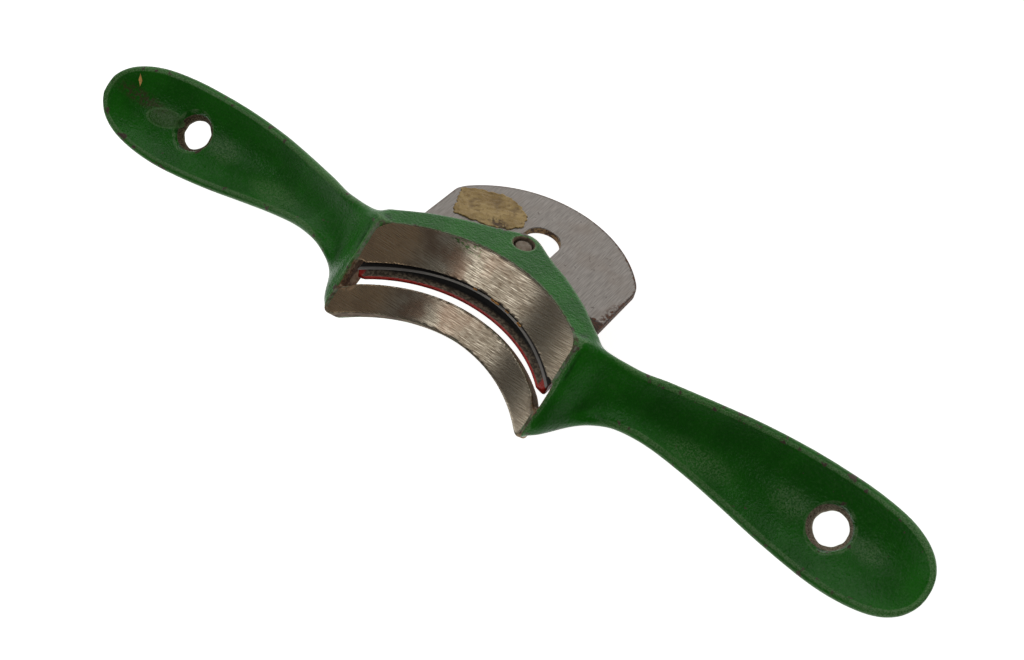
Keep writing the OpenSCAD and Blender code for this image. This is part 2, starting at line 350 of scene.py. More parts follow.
def casting_field():
    """Distance field of the right half of the casting, and the voxel index of its first corner."""
    voxel = CASTING_VOXEL
    first, count, (x, y, z) = field_axes(CASTING_LOW, CASTING_HIGH, voxel)
    body = handle_field(first, count, voxel)

    # only the middle of the tool needs the bed, the toe and the hollow
    m = slice(0, int(BED_REACH / voxel))
    x_m = x[m]
    ones = np.ones((x_m.shape[0], y.shape[1], z.shape[2]), np.float32)
    axis = np.hypot(x_m, z - AXIS_HEIGHT)
    behind_toe = np.hypot(x_m, y - REAR_CENTRE) - REAR_RADIUS
    out_of_bed = y * BED_SIN + z * BED_COS + LIP_PROUD * ease(0.85, 0.15, axis - HOLLOW_RADIUS)
    bed = bed_field(x_m, y, z, ones, out_of_bed)
    fillet = 1.6 + 5.0 * ease(-2.5, -8.0, z) * ease(4.0, 9.0, y)
    middle = blend_min(body[m], bed, fillet)
    cavity = np.maximum(x_m - MOUTH_HALF, out_of_bed) * ones
    middle = blend_max(middle, -cavity, 0.4)
    body[m] = blend_min(middle, toe_field(x_m, y, axis, behind_toe, ones), 1.0)
    body = smooth_field(body, max(1, int(round(ENAMEL_BLUR / voxel))))
    # the neck gets more smoothing than the rest
    n = slice(int(NECK_FROM / voxel), int(BED_REACH / voxel))
    soft = smooth_field(body[n], int(round(NECK_BLUR / voxel ** 2)))
    weight = ease(29.5, 33.0, x[n]) * ease(49.0, 42.0, x[n])
    body[n] += weight * (soft - body[n])

    # ground and drilled after casting, so these edges stay crisp
    ridge = 0.22 + 0.7 * ease(25.5, 28.3, x_m)
    body[m] = blend_max(body[m], (HOLLOW_RADIUS - axis) * ones, ridge)
    mouth = np.maximum(np.maximum(x_m - MOUTH_HALF, out_of_bed), -behind_toe) * ones
    body[m] = blend_max(body[m], -mouth, 0.2 + 1.2 * ease(24.5, 27.8, x_m))
    h = slice(int(HOLE_FROM / voxel), int(HOLE_TO / voxel))
    body[h] = hanging_hole(body[h], x[h], y, z)
    screw = np.hypot(x_m, y * BED_COS - z * BED_SIN - SCREW_STATION) - SCREW_HOLE_RADIUS
    body[m] = blend_max(body[m], -screw * ones, 0.35)
    return body, first


def sample_field(field, first, voxel, points):
    """Values of a field at points, between its voxels."""
    at = points / voxel - first
    low = np.clip(np.floor(at).astype(int), 0, np.array(field.shape) - 2)
    part = at - low
    total = np.zeros(len(points))
    for corner in np.ndindex(2, 2, 2):
        weight = np.abs(1 - np.array(corner) - part).prod(axis=1)
        total += weight * field[tuple((low + corner).T)]
    return total


def add_edge_values(obj, half, first, voxel):
    """Stores how sharply the surface turns outwards, which the enamel uses for wear and chips on edges, a
    painted highlight on edges and painted shade in hollows.
    """
    reach = 0.5
    passes = max(1, int(round(2 * (reach / voxel) ** 2)))
    turn = smooth_field(half, passes) - half
    points = design_points(obj.data)
    points[:, 0] = np.abs(points[:, 0])
    values = sample_field(turn, first, voxel, points) / (reach ** 2)
    layer = obj.data.attributes.new("edge", "FLOAT", "POINT")
    layer.data.foreach_set("value", values.astype(np.float32))


def true_up_lip(obj):
    """Pulls the points of the thin lip onto the sole and the bed's face, so that its edge runs true."""
    place = design_points(obj.data)
    x = place[:, 0]
    weight = ease(26.8, 25.8, np.abs(x))
    radial = np.stack([x, 0 * x, place[:, 2] - AXIS_HEIGHT], 1)
    radius = np.linalg.norm(radial, axis=1)
    radial /= radius[:, None] + 1e-9
    face_normal = np.array(OUT_OF_BED)
    from_sole = radius - HOLLOW_RADIUS
    from_face = place @ face_normal - LIP_CLEARANCE
    near = (np.abs(from_sole) < LIP_REACH) & (np.abs(from_face) < LIP_REACH)
    to_sole = near & (from_sole < from_face)
    to_face = near & ~to_sole
    place[to_sole] -= (weight * from_sole)[to_sole, None] * radial[to_sole]
    place[to_face] -= (weight * from_face)[to_face, None] * face_normal
    depth = hollow_depth(x)
    edge = np.stack([depth / math.tan(BED_ANGLE) + LIP_CLEARANCE / BED_SIN, -depth], 1)
    gap = edge - place[:, 1:]
    closest = near & (np.hypot(gap[:, 0], gap[:, 1]) < LIP_SNAP)
    place[closest, 1:] += 0.8 * weight[closest, None] * gap[closest]
    obj.data.vertices.foreach_set("co", to_row(place).astype(np.float32).ravel())
    obj.data.update()


def build_casting():
    half, first = casting_field()
    obj = field_object("casting_enamelled", half, first, CASTING_VOXEL, lambda p: p)
    true_up_lip(obj)
    add_edge_values(obj, half, first, CASTING_VOXEL)
    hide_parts("body_casting")
    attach(obj, "casting")
    return obj


# ---- the cutting iron ----
BEVEL = math.radians(30)
EDGE_RETREAT = 0.9
EDGE_DROP_AT_ENDS = 14.35
# the edge is ground hollow: seen along the bevel it is an arc of this radius
EDGE_RADIUS = arc_radius(IRON_HALF, EDGE_DROP_AT_ENDS * math.sin(BEVEL))
SLOT_HALF, SLOT_LOW, SLOT_HIGH = 4.9, 26.0, 40.5
CORNER_FALL, CORNER_WIDTH, CHAMFER = 1.6, 1.5, 0.16


def edge_station(x):
    """Where the cutting edge lies along the bed, at x from the middle."""
    fall = (EDGE_RADIUS - math.sqrt(EDGE_RADIUS ** 2 - x * x)) / math.sin(BEVEL)
    return LIP_STATION + EDGE_RETREAT - fall


def top_station(x):
    """Where the round top lies along the bed, at x from the middle."""
    return IRON_TOP - IRON_TOP_RADIUS + math.sqrt(IRON_TOP_RADIUS ** 2 - x * x)


def iron_outline():
    """Points round the iron above its cutting edge, as (x, station), from right to left."""
    start, corner = edge_station(IRON_HALF), top_station(IRON_HALF)
    straight = corner - CORNER_FALL
    side = [(IRON_HALF, start + (straight - start) * k / 24) for k in range(1, 24)]
    top_x = IRON_HALF - CORNER_WIDTH
    a, b, c = (IRON_HALF, straight), (IRON_HALF, corner), (top_x, top_station(top_x))
    for t in (k / 6 for k in range(7)):
        side.append(tuple((1 - t) ** 2 * a[i] + 2 * t * (1 - t) * b[i] + t * t * c[i] for i in (0, 1)))
    across = [top_x * (1 - k / 30) for k in range(1, 60)]
    return side + [(x, top_station(x)) for x in across] + [(-x, y) for x, y in side[::-1]]


def slot_outline():
    """Points round the slot, anticlockwise, as (x, station)."""
    points = []
    for middle, start in ((SLOT_HIGH, 0.0), (SLOT_LOW, math.pi)):
        for a in np.linspace(start, start + math.pi, 25):
            points.append((SLOT_HALF * math.cos(a), middle + SLOT_HALF * math.sin(a)))
    return points


def inset(loop, amount):
    """Moves a closed loop of points inwards; the loop runs anticlockwise."""
    p = np.asarray(loop, float)
    tangent = np.roll(p, -1, 0) - np.roll(p, 1, 0)
    tangent /= np.linalg.norm(tangent, axis=1, keepdims=True) + 1e-9
    return p + amount * np.stack([-tangent[:, 1], tangent[:, 0]], 1)


def build_iron():
    steps = 48
    bottom = [(-IRON_HALF + 2 * IRON_HALF * k / steps) for k in range(steps + 1)]
    edge = [(x, edge_station(x)) for x in bottom]
    heel = [(x, y + IRON_THICKNESS / math.tan(BEVEL)) for x, y in edge]
    upper = iron_outline()
    slot = slot_outline()
    front_loop = edge + upper
    back_loop = heel + [(x, max(y, edge_station(IRON_HALF) + 3.5)) for x, y in upper]
    heights = (-IRON_THICKNESS, CHAMFER - IRON_THICKNESS, -CHAMFER, 0.0)
    loops = [inset(front_loop, CHAMFER * 0.3), np.array(front_loop), back_loop, inset(back_loop, CHAMFER)]
    loops[0][:steps + 1] = edge
    loops[1][:steps + 1] = [(x, y + 0.05) for x, y in edge]
    slot_loops = [inset(slot, -CHAMFER), slot, slot, inset(slot, -CHAMFER)]
    bm = bmesh.new()

    def ring(loop, height):
        row = np.column_stack([loop, np.full(len(loop), height)])
        return [bm.verts.new(p) for p in to_row(from_bed(row))]

    outer, hole = ([ring(*pair) for pair in zip(group, heights)] for group in (loops, slot_loops))
    for rings, flip in ((outer, False), (hole, True)):
        for low, high in zip(rings, rings[1:]):
            n = len(low)
            for k in range(n):
                quad = [low[k], low[(k + 1) % n], high[(k + 1) % n], high[k]]
                bm.faces.new(quad[::-1] if flip else quad)
    for level in (0, -1):
        edges = []
        for loop in (outer[level], hole[level]):
            n = len(loop)
            edges += [bm.edges.get((loop[k], loop[(k + 1) % n])) for k in range(n)]
        bmesh.ops.triangle_fill(bm, use_beauty=True, edges=edges)
    bmesh.ops.recalc_face_normals(bm, faces=bm.faces)
    mesh = bpy.data.meshes.new("iron_blade")
    bm.to_mesh(mesh)
    bm.free()
    mesh.shade_smooth()
    mesh.set_sharp_from_angle(angle=math.radians(20))
    obj = linked("iron_blade", mesh)
    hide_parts("cutting_iron")
    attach(obj, "iron")
    return obj


# ---- the lever cap ----
CAP_HALF, CAP_TOP, CAP_TOP_RADIUS, CAP_PLATE, SEAT_HEIGHT = 27.2, 38.0, 16.0, 3.6, 6.5
NOSE_STATION = LIP_STATION - 2.5
NOSE_RADIUS = arc_radius(27.0, LIP_STATION * 0.93)
UNDERCUT_BACK, UNDERCUT_SLOPE = 4.6, 0.933


def from_cap(points):
    """Cap frame (x, along the bed, up from the front of the iron) to design millimetres."""
    p = np.asarray(points, float)
    return from_bed(np.stack([p[:, 0], p[:, 1], -IRON_THICKNESS - p[:, 2]], 1))


def stadium(x, y, half, low, high):
    """Distance to a slot with round ends, whose ends have their centres at low and high."""
    return np.hypot(x, y - np.clip(y, low, high)) - half


def build_cap():
    voxel = 0.24
    first, count, (x, y, t) = field_axes((0, -1, -1), (29, 40, 8), voxel)
    ones = np.ones(tuple(count), np.float32)
    shoulders = polygon_distance(x + y * 0, y + x * 0, [
        (-CAP_HALF, 0), (CAP_HALF, 0), (CAP_HALF, 9), (15.2, 27), (-15.2, 27), (-CAP_HALF, 9)])
    from_top = np.hypot(x, y - CAP_TOP + CAP_TOP_RADIUS)
    from_nose = np.hypot(x, y - NOSE_STATION + NOSE_RADIUS)
    plan = blend_min(from_top - CAP_TOP_RADIUS, shoulders, 3.0)
    plan = blend_max(plan, 1.3 - y, 0.8)
    plan = blend_max(plan, x - CAP_HALF, 0.6)
    plate = blend_max(plan * ones, t - CAP_PLATE, 1.0)
    seat = (np.hypot(x, y - SCREW_STATION + 1) - 15 + 4.5 * t / SEAT_HEIGHT) * 0.82
    seat = blend_max(blend_max(seat, plan, 0.5) * ones, t - SEAT_HEIGHT, 0.9)
    body = blend_min(plate, seat, 2.0)
    body = smooth_field(body, 2)
    body = blend_max(body, (NOSE_RADIUS - from_nose) * ones, 0.3)
    top_cut = NOSE_RADIUS + 2 * (t - 1.9) - from_nose
    top_cut = np.where(t > 1.9, top_cut * 0.45, -9)
    body = blend_max(body, top_cut, 0.4)
    body = blend_max(body, -t * ones, 0.2)
    relief = np.maximum(from_top - 14.5, NOSE_STATION + 8 - y) * ones
    relief = np.maximum(relief, t - 1.4)
    body = blend_max(body, -relief, 0.4)
    under_radius = NOSE_RADIUS + 1 - UNDERCUT_SLOPE * (t + 2)
    under = np.hypot(x, y - NOSE_STATION - UNDERCUT_BACK + NOSE_RADIUS) - under_radius
    body = blend_max(body, -np.maximum(under * 0.73 * ones, t - 1.0), 0.25)
    body = blend_max(body, -stadium(x, y, 3.2, SCREW_STATION - 3, SCREW_STATION + 1.5) * ones, 0.3)
    obj = field_object("cap_enamelled", body, first, voxel, from_cap)
    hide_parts("lever_cap")
    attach(obj, "cap")
    return obj


# ---- the cap screw ----
HEAD_RADIUS, HEAD_HEIGHT, SHANK_RADIUS, SHANK_LENGTH = 8.5, 5.5, 2.45, 13.5
KNURL_RIDGES, KNURL_DEPTH = 36, 0.42
SLIT_HALF, SLIT_DEPTH = 0.6, 1.6
DIMPLE_RADIUS = 26.0
THREAD_PITCH = 0.8


def from_screw(points):
    """Screw frame (across, across, up towards the head) to design millimetres."""
    p = np.asarray(points, float)
    seat = IRON_THICKNESS + SEAT_HEIGHT
    return from_bed(np.stack([p[:, 0], SCREW_STATION + p[:, 1], -seat - p[:, 2]], 1))


def build_screw():
    voxel = 0.15
    first, count, (x, y, t) = field_axes((-9, -9, -16), (9, 9, 6.5), voxel)
    ones = np.ones(tuple(count), np.float32)
    radial = np.hypot(x, y)
    turn = np.arctan2(y, x)
    knurl = KNURL_DEPTH * np.abs(np.sin(KNURL_RIDGES / 2 * turn)) ** 1.5
    head = blend_max((radial - HEAD_RADIUS + knurl) * ones, t - HEAD_HEIGHT, 0.7)
    head = blend_max(head, -t * ones, 0.7)
    slit = np.maximum(np.abs(x) - SLIT_HALF, HEAD_HEIGHT - SLIT_DEPTH - t) * ones
    head = blend_max(head, -slit, 0.15)
    dimple = DIMPLE_RADIUS - np.hypot(radial, t - HEAD_HEIGHT - 25.6)
    head = blend_max(head, dimple * ones, 0.3)
    wave = (t / THREAD_PITCH - turn / (2 * math.pi)) * 2 * math.pi
    thread = (radial - SHANK_RADIUS + 0.2 + 0.18 * np.cos(wave)) * 0.7
    collar = np.maximum(radial - 2.35 + t * 0, -4.2 - t)
    shank = np.minimum(thread, collar) * ones
    shank = blend_max(shank, -SHANK_LENGTH - t, 0.6)
    shank = np.maximum(shank, t - 1)
    body = blend_min(head, shank, 0.5)
    obj = field_object("screw_knurled", body, first, voxel, from_screw, mirrored=False)
    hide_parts("cap_screw")
    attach(obj, "screw")
    return obj


# ---- the torn paper on the iron, and wood dust in the mouth ----
PAPER_OUTLINE = [
    (-22.1, 33.1), (-23.7, 36.3), (-25.4, 40.8), (-25.8, 42.3), (-24.5, 44.0), (-22.8, 45.2),
    (-19.9, 46.6), (-17.5, 47.7), (-14.3, 48.5), (-12.1, 48.0), (-9.9, 47.0), (-7.6, 45.5),
    (-6.0, 41.7), (-8.0, 38.2), (-10.7, 36.3), (-13.8, 34.9), (-17.5, 34.1),
]


def build_paper():
    voxel = 0.14
    first, count, (x, y, t) = field_axes((-27, 32, -0.4), (-5, 50, 0.8), voxel)
    flat_x, flat_y = x + y * 0, y + x * 0
    plan = polygon_distance(flat_x, flat_y, PAPER_OUTLINE) * 0.9
    plan = plan + 0.28 * wavy(flat_x, flat_y, 0.55, 1.3) + 0.1 * wavy(flat_x, flat_y, 0.2, 4.1)
    lift = 0.16 + 0.1 * wavy(flat_x, flat_y, 1.6, 2.2) + 0.05 * wavy(flat_x, flat_y, 0.6, 5.0)
    curl = 0.12 * ease(-1.0, 0.0, plan)
    sheet = blend_max(plan * 0.8 + 0 * t, t - lift - curl, 0.1)
    sheet = np.maximum(sheet, -0.15 - t)
    obj = field_object("paper_remnant", sheet, first, voxel, from_bed, mirrored=False)
    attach(obj, "iron")
    return obj


# heaps of dust along the lip: middle, how far they spread either way, number of crumbs
CRUMB_HEAPS = ((-1.6, 0.9, 4), (4.0, 1.3, 7), (7.8, 0.5, 3), (12.2, 0.7, 4))


def build_crumbs():
    bm = bmesh.new()
    for middle, spread, number in CRUMB_HEAPS:
        for _ in range(number):
            x = middle + random.uniform(-spread, spread)
            depth = hollow_depth(x)
            lip = Vector((x, depth / math.tan(BED_ANGLE), -depth))
            centre = lip + Vector((0, -0.27, -0.08 + random.uniform(-0.08, 0.05)))
            size = random.uniform(0.18, 0.30)
            grain = bmesh.ops.create_icosphere(bm, subdivisions=2, radius=size)["verts"]
            for v in grain:
                v.co += v.co.normalized() * size * 0.5 * noise.noise(v.co * 4 + centre * 3)
                v.co.x *= 1.3
                v.co = Vector(to_row(centre + v.co))
    mesh = bpy.data.meshes.new("wood_dust")
    bm.to_mesh(mesh)
    bm.free()
    mesh.shade_smooth()
    obj = linked("wood_dust", mesh)
    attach(obj, "casting")
    return obj


pieces = [build_casting(), build_iron(), build_cap(), build_screw(), build_paper(), build_crumbs()]


# ---- materials ----
class Shader:
    """Builds one node material. Numbers, colours and sockets all work as inputs."""

    def __init__(self, name):
        self.material = bpy.data.materials.new(name)
        self.material.use_nodes = True
        self.tree = self.material.node_tree
        self.surface = self.tree.nodes["Principled BSDF"]
        place = self.node("ShaderNodeTexCoord").outputs["Object"]
        self.place = self.vector("MULTIPLY_ADD", place, (1 / MM,) * 3, tuple(-OFFSET))
        self.x, self.y, self.z = self.along(1, 0, 0), self.along(0, 1, 0), self.along(0, 0, 1)
        self.width = self.math("ABSOLUTE", self.x)
        self.up, self.out = self.along(*UP_THE_BED), self.along(*OUT_OF_BED)

    def node(self, kind, inputs=(), **settings):
        """A new node with these settings, and its inputs set by name or number."""
        made = self.tree.nodes.new(kind)
        for key, value in settings.items():
            setattr(made, key, value)
        for key, value in dict(inputs).items():
            self.feed(made.inputs[key], value)
        return made

    def feed(self, socket, value):
        if isinstance(value, bpy.types.NodeSocket):
            self.tree.links.new(value, socket)
        elif isinstance(value, tuple) and len(value) == 3 and socket.type == "RGBA":
            socket.default_value = (*value, 1)
        else:
            socket.default_value = value

    def vector(self, operation, *values):
        made = self.node("ShaderNodeVectorMath", enumerate(values), operation=operation)
        return made.outputs["Value" if operation in ("DOT_PRODUCT", "LENGTH") else "Vector"]

    def math(self, operation, *values):
        return self.node("ShaderNodeMath", enumerate(values), operation=operation).outputs[0]

    def plus(self, first, second):
        return self.math("ADD", first, second)

    def minus(self, first, second):
        return self.math("SUBTRACT", first, second)

    def gap(self, first, second):
        """How far apart two values are, whichever is larger."""
        return self.math("ABSOLUTE", self.minus(first, second))

    def times(self, first, *others):
        for other in others:
            first = self.math("MULTIPLY", first, other)
        return first

    def largest(self, first, *others):
        for other in others:
            first = self.math("MAXIMUM", first, other)
        return first

    def scaled(self, value, factor, offset):
        """value * factor + offset."""
        return self.math("MULTIPLY_ADD", value, factor, offset)

    def distance(self, a, b):
        """Length of the vector (a, b)."""
        return self.vector("LENGTH", self.node("ShaderNodeCombineXYZ", enumerate((a, b))).outputs[0])

    def along(self, x, y, z):
        """Distance along a direction, in design millimetres."""
        return self.vector("DOT_PRODUCT", self.place, (x, y, z))

    def ramp(self, value, low, high, start=0.0, end=1.0):
        """Eases from start to end as the value goes from low to high."""
        inputs = {"Value": value, "From Min": low, "From Max": high, "To Min": start, "To Max": end}
        return self.node("ShaderNodeMapRange", inputs, interpolation_type="SMOOTHSTEP").outputs["Result"]

    def mix(self, amount, first, second):
        """From the first colour to the second."""
        return self.node("ShaderNodeMix", {0: amount, 6: first, 7: second}, data_type="RGBA").outputs[2]

    def layers(self, colour, *layers):
        """Lays (mask, colour) pairs over a colour, one after another."""
        for mask, over in layers:
            colour = self.mix(mask, colour, over)
        return colour

    def blend(self, amount, first, second):
        """From the first value to the second."""
        return self.node("ShaderNodeMix", {0: amount, 2: first, 3: second}, data_type="FLOAT").outputs[0]

    def noise(self, scale, detail=2.0, stretch=None):
        """Noise with so many features per millimetre, stretched along a direction if asked."""
        place = self.place if stretch is None else self.vector("MULTIPLY", self.place, stretch)
        return self.noise_at(place, scale, detail)

    def noise_at(self, place, scale, detail):
        inputs = {"Vector": place, "Scale": scale, "Detail": detail}
        return self.node("ShaderNodeTexNoise", inputs).outputs[0]

    def streaks(self, across, along, scale, detail):
        """Noise drawn out along the second direction."""
        a, b = Vector(along).normalized(), Vector(across).normalized()
        parts = [self.along(*direction) for direction in (a * 0.06, b, a.cross(b))]
        return self.noise_at(self.node("ShaderNodeCombineXYZ", enumerate(parts)).outputs[0], scale, detail)

    def near(self, centre, radii, soft=0.5):
        """1 inside an ellipsoid about centre, easing to 0 outside."""
        offset = self.vector("SUBTRACT", self.place, centre)
        scaled = self.vector("DIVIDE", offset, radii)
        return self.ramp(self.vector("LENGTH", scaled), 1 + soft, 1 - soft)

    def from_mark(self, centre, direction, half_length, half_width):
        """Place beside a mark on a handle, along it and across it, as parts of its half sizes."""
        (x, y), (a, b) = centre, direction
        lengthways = self.minus(self.along(a, b, 0), a * x + b * y)
        widthways = self.minus(self.along(-b, a, 0), a * y - b * x)
        return self.math("DIVIDE", lengthways, half_length), self.math("DIVIDE", widthways, half_width)

    def finish(self, colour, rough, metal, height, depth):
        """Sets the surface. height is a pattern of bumps, and depth how deep they are in millimetres."""
        bump = self.node("ShaderNodeBump", {"Distance": depth * MM, "Height": height})
        self.cover({"Base Color": colour, "Roughness": rough, "Metallic": metal, "Normal": bump.outputs[0]})
        return self.material

    def cover(self, inputs):
        """Sets the surface's inputs by name."""
        for name, value in inputs.items():
            self.feed(self.surface.inputs[name], value)


RUST = (0.12, 0.045, 0.018)
DARK_RUST = (0.035, 0.017, 0.01)
# across the sole, painted shade right of the middle: where it starts, is full from and to, and ends, and
# how strong it is
PAINTED_SHADE_ZONES = ((-3.5, 1, 15, 24, 0.43), (-3, 1.5, 6, 12, 0.45))
# painted highlight, a lighter speckle on each handle where its dish catches the light: distance from the
# middle, y, and how far it reaches
PAINTED_SPARKLE_PATCHES = ((84, 7.3, 5.5, 3.6), (62.8, 4.5, 9, 3.2), (103, 6.9, 4.5, 2.6))
# marks in the left dish: centre and direction in plan, half length and half width
GOLD_CHIP = (-111.9, 11.15), (0.264, -0.964), 1.5, 0.42
OVAL = (-102.7, 6.1), (0.94, 0.342), 4.4, 2.5


def ground_steel(sh):
    """The ground sole's fine lines along the tool, and its colour with stains and scratches, painted shade
    right of the middle and paler lines painted as a highlight near x = 3.
    """
    lines = sh.noise(5, 4, stretch=(0.045, 1, 0))
    scratches = sh.noise(4.4, 2, stretch=(0.13, 1, 0))
    patches = sh.noise(0.16, 4)
    colour = sh.mix(sh.ramp(lines, 0.3, 0.7), (0.26, 0.218, 0.16), (0.54, 0.478, 0.375))
    # painted shade right of the middle, in a wide zone and again in a narrower one
    for left, full_from, full_to, right, amount in PAINTED_SHADE_ZONES:
        painted_shade = sh.times(sh.ramp(sh.x, left, full_from), sh.ramp(sh.x, right, full_to), amount)
        colour = sh.mix(painted_shade, colour, (0.155, 0.125, 0.09))
    middle = sh.gap(sh.x, 3)
    worn = sh.times(sh.ramp(scratches, 0.52, 0.59), sh.ramp(middle, 15, 6, 0.22, 0.75))
    darkened_areas = sh.times(sh.ramp(patches, 0.42, 0.68), sh.ramp(sh.x, 10, -12, 0.1, 0.8))
    return lines, sh.layers(
        colour,
        (sh.ramp(sh.scaled(patches, 8, sh.x), -10, -18, 0, 0.75), (0.56, 0.375, 0.215)),
        (worn, (0.095, 0.068, 0.044)),
        # painted highlight: paler lines, strongest within about 8 mm of x = 3, as part of the sole's
        # highlight
        (sh.times(sh.ramp(lines, 0.56, 0.68), sh.ramp(middle, 20, 8, 0.25, 0.5)), (0.72, 0.65, 0.53)),
        (sh.times(darkened_areas, sh.ramp(sh.x, -24, -14, 0.3, 1)), (0.22, 0.135, 0.09)))


def green_enamel(sh, cloud, fine):
    """Colour of the enamel: mottled, with painted shade in the hollows and on the right neck, pale on the
    edges as rubbed enamel and painted highlight, painted highlight speckles on the handles, and chips.
    """
    edge = sh.node("ShaderNodeAttribute", attribute_name="edge").outputs["Fac"]
    painted_sparkle = 0
    for patch_x, patch_y, reach_x, reach_y in PAINTED_SPARKLE_PATCHES:
        across = sh.math("DIVIDE", sh.minus(sh.width, patch_x), reach_x)
        deep = sh.math("DIVIDE", sh.minus(sh.y, patch_y), reach_y)
        painted_sparkle = sh.largest(painted_sparkle, sh.ramp(sh.distance(across, deep), 1.3, 0.4))
    chip = sh.times(sh.ramp(edge, 0.12, 0.3), sh.ramp(sh.noise(0.4, 4), 0.615, 0.66))
    return sh.layers(
        sh.mix(sh.ramp(sh.noise(0.09, 3), 0.35, 0.65), (0.0055, 0.106, 0.001), (0.009, 0.142, 0.002)),
        (sh.ramp(cloud, 0.5, 0.8, 0, 0.35), (0.026, 0.125, 0.014)),
        (sh.ramp(sh.noise(1.5, 4), 0.5, 0.68, 0, 0.3), (0.04, 0.17, 0.026)),
        (sh.ramp(fine, 0.46, 0.34, 0, 0.25), (0.002, 0.055, 0.001)),
        # painted shade: darker where the surface turns inwards, in hollows and creases
        (sh.ramp(edge, -0.02, -0.16, 0, 0.6), (0.003, 0.03, 0.002)),
        # pale on sharp edges: partly rubbed enamel, partly painted highlight
        (sh.times(sh.ramp(edge, 0.25, 0.4), sh.ramp(fine, 0.4, 0.6, 0.3, 0.95)), (0.115, 0.235, 0.085)),
        # painted shade: a darker patch on the right neck, which dims its highlight
        (sh.times(sh.near((31, -5.5, -4.5), (4.5, 5, 5)), 0.55), (0.003, 0.05, 0.001)),
        # painted highlight: lighter speckles in those patches
        (sh.times(painted_sparkle, sh.ramp(sh.noise(2.6, 2), 0.44, 0.58, 0.08, 0.9)), (0.075, 0.19, 0.052)),
        (sh.largest(chip, sh.ramp(sh.noise(0.8, 1), 0.78, 0.8, 0, 0.8)), (0.08, 0.062, 0.042)))


def ground_area(sh, from_sole, on_lip):
    """1 on the sole and the lip, inside a border with slack sides and round rear corners."""
    slack = sh.scaled(sh.noise(0.9, 3), 0.5, -0.25)
    on_sole = sh.largest(sh.ramp(from_sole, 0.16, 0.06), on_lip)
    inside = sh.math("LESS_THAN", sh.plus(sh.width, slack), 27.75)
    rear_edge = sh.scaled(sh.z, -1 / math.tan(BACK_ANGLE), SOLE_REAR - SOLE_CORNER)
    corner_x = sh.largest(sh.minus(sh.width, 24.9), 0)
    corner_y = sh.largest(sh.minus(sh.y, rear_edge), 0)
    return sh.times(on_sole, inside, sh.math("LESS_THAN", sh.distance(corner_x, corner_y), SOLE_CORNER))


def hole_wall(sh):
    """1 in the hanging holes, below their rims."""
    leaning = sh.scaled(sh.z, HOLE_LEAN, -HOLE_LEAN * HOLE_LEVEL - HOLE_X)
    from_hole = sh.distance(sh.plus(sh.width, leaning), sh.minus(sh.y, HOLE_Y))
    return sh.times(sh.ramp(from_hole, HOLE_RADIUS + 1.15, HOLE_RADIUS + 0.95), sh.ramp(sh.z, -21.5, -20.5))


def from_arc(sh, centre_y, radius):
    """How far a point is, in plan, from one of the toe's two edges."""
    return sh.gap(sh.distance(sh.x, sh.minus(sh.y, centre_y)), radius)


def handle_marks(sh, colour, cloud):
    """Adds the marks in the left dish: a worn patch, a gold chip and an oval cast line."""
    worn = sh.times(sh.near((-109.2, 7.6, -11), (7.2, 1.9, 6), 0.45), sh.ramp(
        sh.noise(1.2, 4), 0.38, 0.58), sh.ramp(sh.z, -15.6, -15, 0, 0.8))
    chip_x, chip_y = (sh.math("ABSOLUTE", part) for part in sh.from_mark(*GOLD_CHIP))
    chip = sh.times(sh.ramp(sh.plus(chip_x, chip_y), 1.1, 0.9), sh.ramp(sh.z, -12.6, -12.2))
    oval = sh.distance(*sh.from_mark(*OVAL))
    in_dish = sh.ramp(sh.z, -18.6, -18)
    line = sh.times(in_dish, sh.ramp(sh.gap(oval, 1), 0.11, 0.04), sh.ramp(cloud, 0.3, 0.55, 0.4, 0.85))
    return sh.layers(
        colour,
        (worn, (0.056, 0.052, 0.02)),
        (chip, (0.8, 0.43, 0.14)),
        (sh.times(in_dish, sh.ramp(oval, 1, 0.85, 0, 0.4)), (0.055, 0.09, 0.026)),
        (line, (0.08, 0.185, 0.055)))


